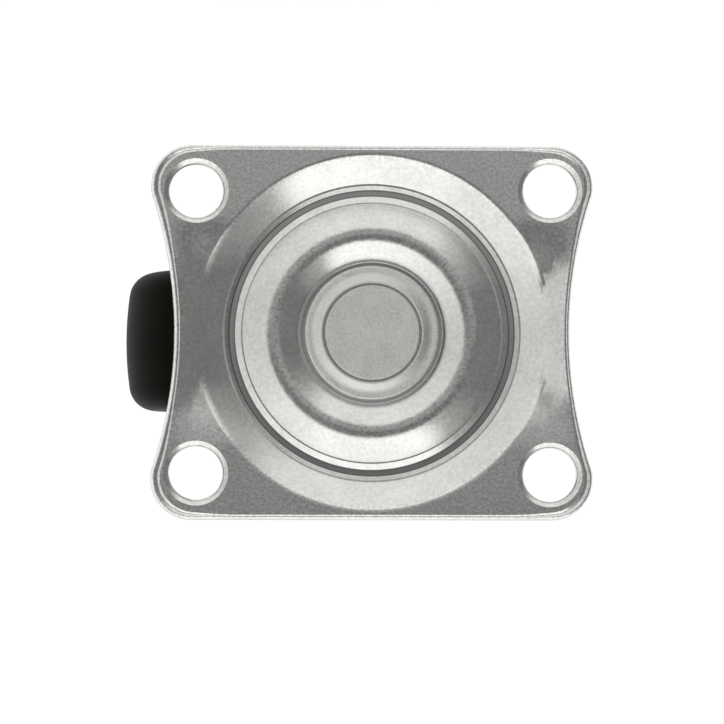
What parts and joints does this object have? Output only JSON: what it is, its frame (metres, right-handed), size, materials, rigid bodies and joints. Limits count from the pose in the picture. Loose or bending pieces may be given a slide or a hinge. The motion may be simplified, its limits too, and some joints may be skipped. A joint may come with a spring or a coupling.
{
  "type": "swivel caster",
  "caption": "Small swivel caster with a pressed steel mounting plate, double ball races, a trailing fork and a crowned rubber wheel.",
  "frame": {"origin": "centre of the four-hole pattern, on the swivel axis, in the plate's mounting face", "axes": "+Z out of the mounting face along the swivel axis, +X along the plate's long side and away from the trailing wheel, +Y along the wheel's axle"},
  "size_m": [0.0403, 0.0322, 0.035],
  "materials": {
    "zinc_plate": "bright zinc plating",
    "zinc_fork": "bright zinc plating",
    "pin_steel": "matt formed steel, zinc plated",
    "ball_steel": "polished bearing steel",
    "black_rubber": "satin moulded rubber",
    "core_plastic": "satin moulded plastic"
  },
  "bodies": {
    "plate": {"top_plate": "zinc_plate", "king_pin": "pin_steel", "lower_cup": "zinc_plate"},
    "fork": {"fork": "zinc_fork", "axle_sleeve": "pin_steel", "axle_rivet": "pin_steel"},
    "wheel": {"wheel_tyre": "black_rubber", "wheel_core": "core_plastic"},
    "upper_balls": {"upper_ball_01": "ball_steel", "upper_ball_02": "ball_steel", "upper_ball_03": "ball_steel", "upper_ball_04": "ball_steel", "upper_ball_05": "ball_steel", "upper_ball_06": "ball_steel", "upper_ball_07": "ball_steel", "upper_ball_08": "ball_steel", "upper_ball_09": "ball_steel", "upper_ball_10": "ball_steel", "upper_ball_11": "ball_steel", "upper_ball_12": "ball_steel", "upper_ball_13": "ball_steel", "upper_ball_14": "ball_steel", "upper_ball_15": "ball_steel", "upper_ball_16": "ball_steel"},
    "lower_balls": {"lower_ball_01": "ball_steel", "lower_ball_02": "ball_steel", "lower_ball_03": "ball_steel", "lower_ball_04": "ball_steel", "lower_ball_05": "ball_steel", "lower_ball_06": "ball_steel", "lower_ball_07": "ball_steel", "lower_ball_08": "ball_steel", "lower_ball_09": "ball_steel", "lower_ball_10": "ball_steel", "lower_ball_11": "ball_steel", "lower_ball_12": "ball_steel", "lower_ball_13": "ball_steel"}
  },
  "joints": [
    {"name": "swivel", "type": "hinge", "parent": "plate", "child": "fork", "pos_m": [0, 0, -0.006], "axis": [0, 0, 1], "continuous": true},
    {"name": "wheel_spin", "type": "hinge", "parent": "fork", "child": "wheel", "pos_m": [-0.0088, 0, -0.0225], "axis": [0, 1, 0], "continuous": true},
    {"name": "upper_ball_roll", "type": "hinge", "parent": "plate", "child": "upper_balls", "pos_m": [0, 0, -0.0032], "axis": [0, 0, 1], "continuous": true},
    {"name": "lower_ball_roll", "type": "hinge", "parent": "plate", "child": "lower_balls", "pos_m": [0, 0, -0.0061], "axis": [0, 0, 1], "continuous": true}
  ],
  "couplings": [
    {"joint": "upper_ball_roll", "follows": "swivel", "ratio": 0.5},
    {"joint": "lower_ball_roll", "follows": "swivel", "ratio": 0.5}
  ]
}
